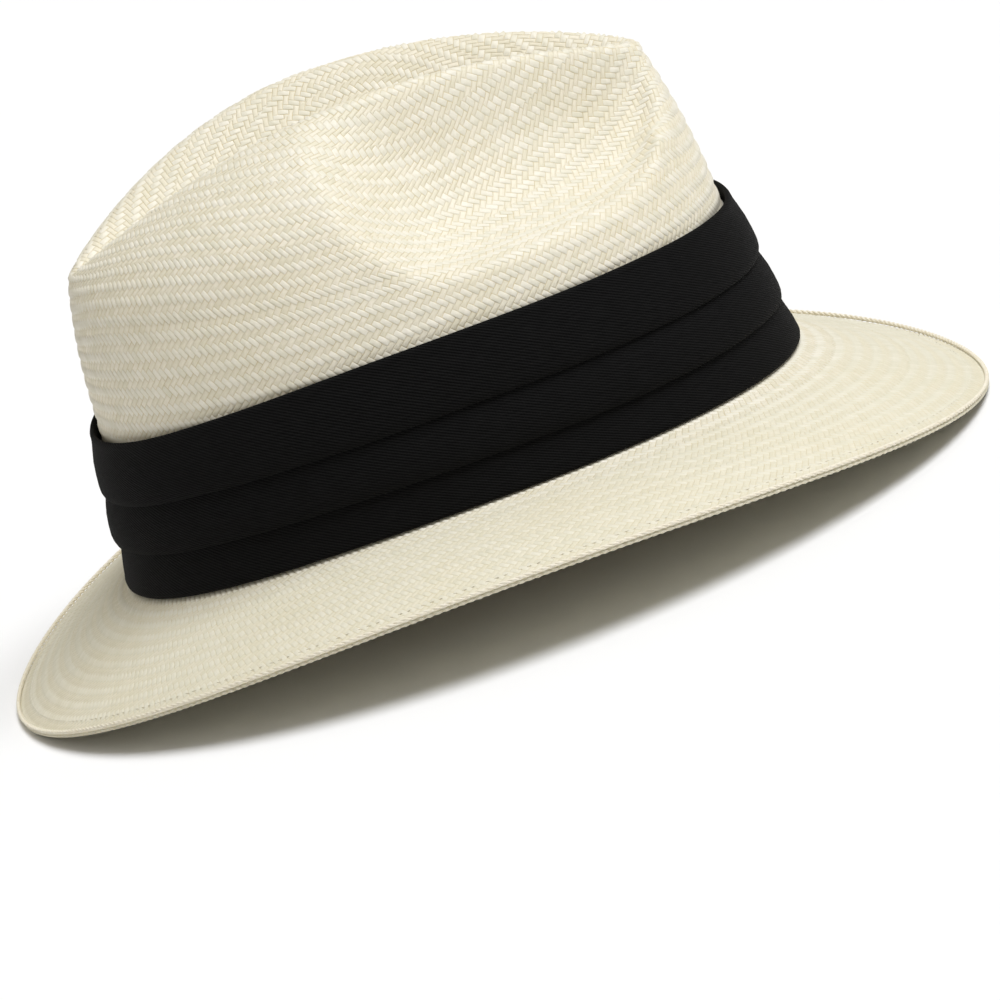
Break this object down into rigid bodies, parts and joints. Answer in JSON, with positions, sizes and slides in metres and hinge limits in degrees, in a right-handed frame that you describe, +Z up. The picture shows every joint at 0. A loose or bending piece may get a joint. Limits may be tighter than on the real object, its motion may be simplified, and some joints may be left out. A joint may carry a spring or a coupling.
{
  "type": "panama hat",
  "caption": "Cream woven straw fedora hat with a teardrop dent, front pinches, a downturned brim and a black pleated band.",
  "frame": {"origin": "middle of the brim's footprint, on the plane the hat rests on", "axes": "+X towards the front of the hat, +Y towards the wearer's left, +Z up through the crown"},
  "size_m": [0.306, 0.2746, 0.1484],
  "materials": {
    "straw": "woven toquilla straw, slight sheen",
    "plait": "plaited straw cord",
    "thread": "cream sewing thread",
    "dark_thread": "black sewing thread",
    "cloth": "black cotton twill",
    "backing": "stiffened buckram",
    "leather": "smooth tan sweatband leather",
    "reed": "thin welt reed",
    "tape": "cotton tape",
    "ribbon": "narrow ribbon",
    "tag": "blank woven-paper tag"
  },
  "bodies": {
    "root": {"straw_body": "straw", "brim_edge_plait": "plait", "hem_stitch_thread": "thread", "pleated_band": "cloth", "band_backing": "backing", "band_keeper": "cloth", "band_tack_1": "dark_thread", "band_tack_2": "dark_thread", "band_tack_3": "dark_thread", "band_tack_4": "dark_thread", "sweatband": "leather", "sweatband_reed": "reed", "reed_tape": "tape", "sweatband_seam_thread": "thread", "bow_loops": "ribbon", "bow_knot": "ribbon", "size_tag": "tag"}
  },
  "joints": []
}
